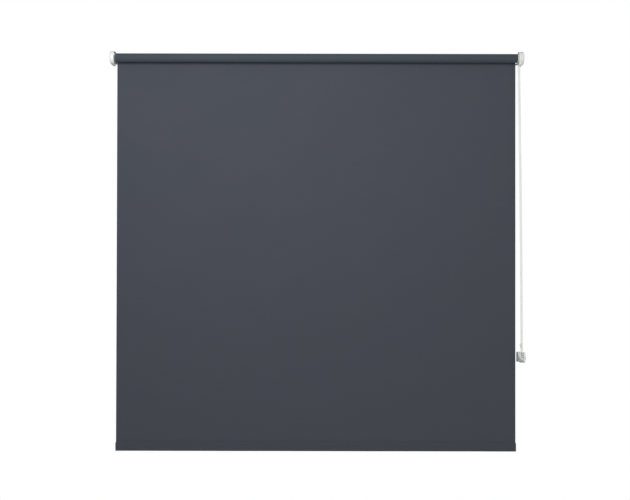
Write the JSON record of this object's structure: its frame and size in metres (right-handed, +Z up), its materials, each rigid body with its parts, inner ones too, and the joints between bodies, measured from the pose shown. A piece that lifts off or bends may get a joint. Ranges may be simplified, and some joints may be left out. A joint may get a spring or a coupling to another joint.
{
  "type": "roller blind",
  "caption": "Wall-mounted roller blind with a dark cloth falling from the back of the roll, a bead-chain clutch on the right and a chain tensioner.",
  "frame": {"origin": "in the plane of the wall, at mid-span of the cloth, at the height of the roller's axis", "axes": "+X along the roller towards the chain, +Y into the wall that the brackets are screwed to, +Z up"},
  "size_m": [1.247, 0.05, 1.2],
  "materials": {
    "blind_fabric": "matt tight weave, dark slate grey",
    "white_plastic": "white moulded plastic, satin",
    "grey_plastic": "light grey moulded plastic",
    "dark_plastic": "near-black moulded plastic",
    "natural_plastic": "milky natural plastic",
    "steel": "bright steel",
    "aluminium": "mill-finish extrusion",
    "painted_steel": "white powder coat"
  },
  "bodies": {
    "frame": {"idle_bracket": "painted_steel", "idle_bracket_cover": "white_plastic", "idle_bush": "natural_plastic", "control_bracket": "painted_steel", "control_bracket_cover": "white_plastic", "clutch_core": "natural_plastic", "clutch_clip": "steel", "clutch_screw": "steel", "chain_guard": "white_plastic", "bead_chain": "white_plastic", "tensioner_clip": "natural_plastic", "tensioner_body": "grey_plastic", "tensioner_cover": "white_plastic", "tensioner_axle": "steel"},
    "bottom_rail": {"fabric_sheet": "blind_fabric", "hem_pocket": "blind_fabric", "bottom_bar": "aluminium", "bar_cap_left": "dark_plastic", "bar_cap_right": "dark_plastic"},
    "roller": {"roller_tube": "aluminium", "fabric_roll": "blind_fabric", "fabric_spline": "natural_plastic", "idle_plug": "dark_plastic", "idle_spring": "steel", "idle_spring_stop": "natural_plastic", "drive_plug": "dark_plastic"},
    "idle_pin": {"idle_pin": "steel"},
    "sprocket": {"sprocket": "white_plastic", "wrap_spring_inner": "steel", "wrap_spring_outer": "steel"},
    "tensioner_wheel": {"tensioner_wheel": "natural_plastic"},
    "chain_connector": {"chain_connector": "natural_plastic"}
  },
  "joints": [
    {"name": "blind_travel", "type": "slide", "parent": "frame", "child": "bottom_rail", "axis": [0, 0, 1], "range_m": [0, 1.13], "deforming": ["fabric_sheet"]},
    {"name": "roller_spin", "type": "hinge", "parent": "frame", "child": "roller", "pos_m": [0, -0.03, 0], "axis": [1, 0, 0], "range_deg": [0, 4320]},
    {"name": "sprocket_spin", "type": "hinge", "parent": "frame", "child": "sprocket", "pos_m": [0.6075, -0.03, 0], "axis": [1, 0, 0], "range_deg": [0, 4320]},
    {"name": "tensioner_wheel_spin", "type": "hinge", "parent": "frame", "child": "tensioner_wheel", "pos_m": [0.6185, -0.019, -0.89987], "axis": [1, 0, 0], "range_deg": [0, 4320]},
    {"name": "connector_travel", "type": "slide", "parent": "frame", "child": "chain_connector", "axis": [-0.0122, -0.0122, 0.9999], "range_m": [0, 0.72]},
    {"name": "idle_pin_press", "type": "slide", "parent": "roller", "child": "idle_pin", "axis": [1, 0, 0], "range_m": [0, 0.008], "stiffness_N_per_m": 450, "springref_m": -0.006, "deforming": ["idle_spring"]}
  ],
  "couplings": [
    {"joint": "roller_spin", "follows": "blind_travel", "rad_per_m": 66.724},
    {"joint": "sprocket_spin", "follows": "blind_travel", "rad_per_m": 66.724},
    {"joint": "tensioner_wheel_spin", "follows": "blind_travel", "rad_per_m": 66.724},
    {"joint": "connector_travel", "follows": "blind_travel", "ratio": 0.63716}
  ]
}
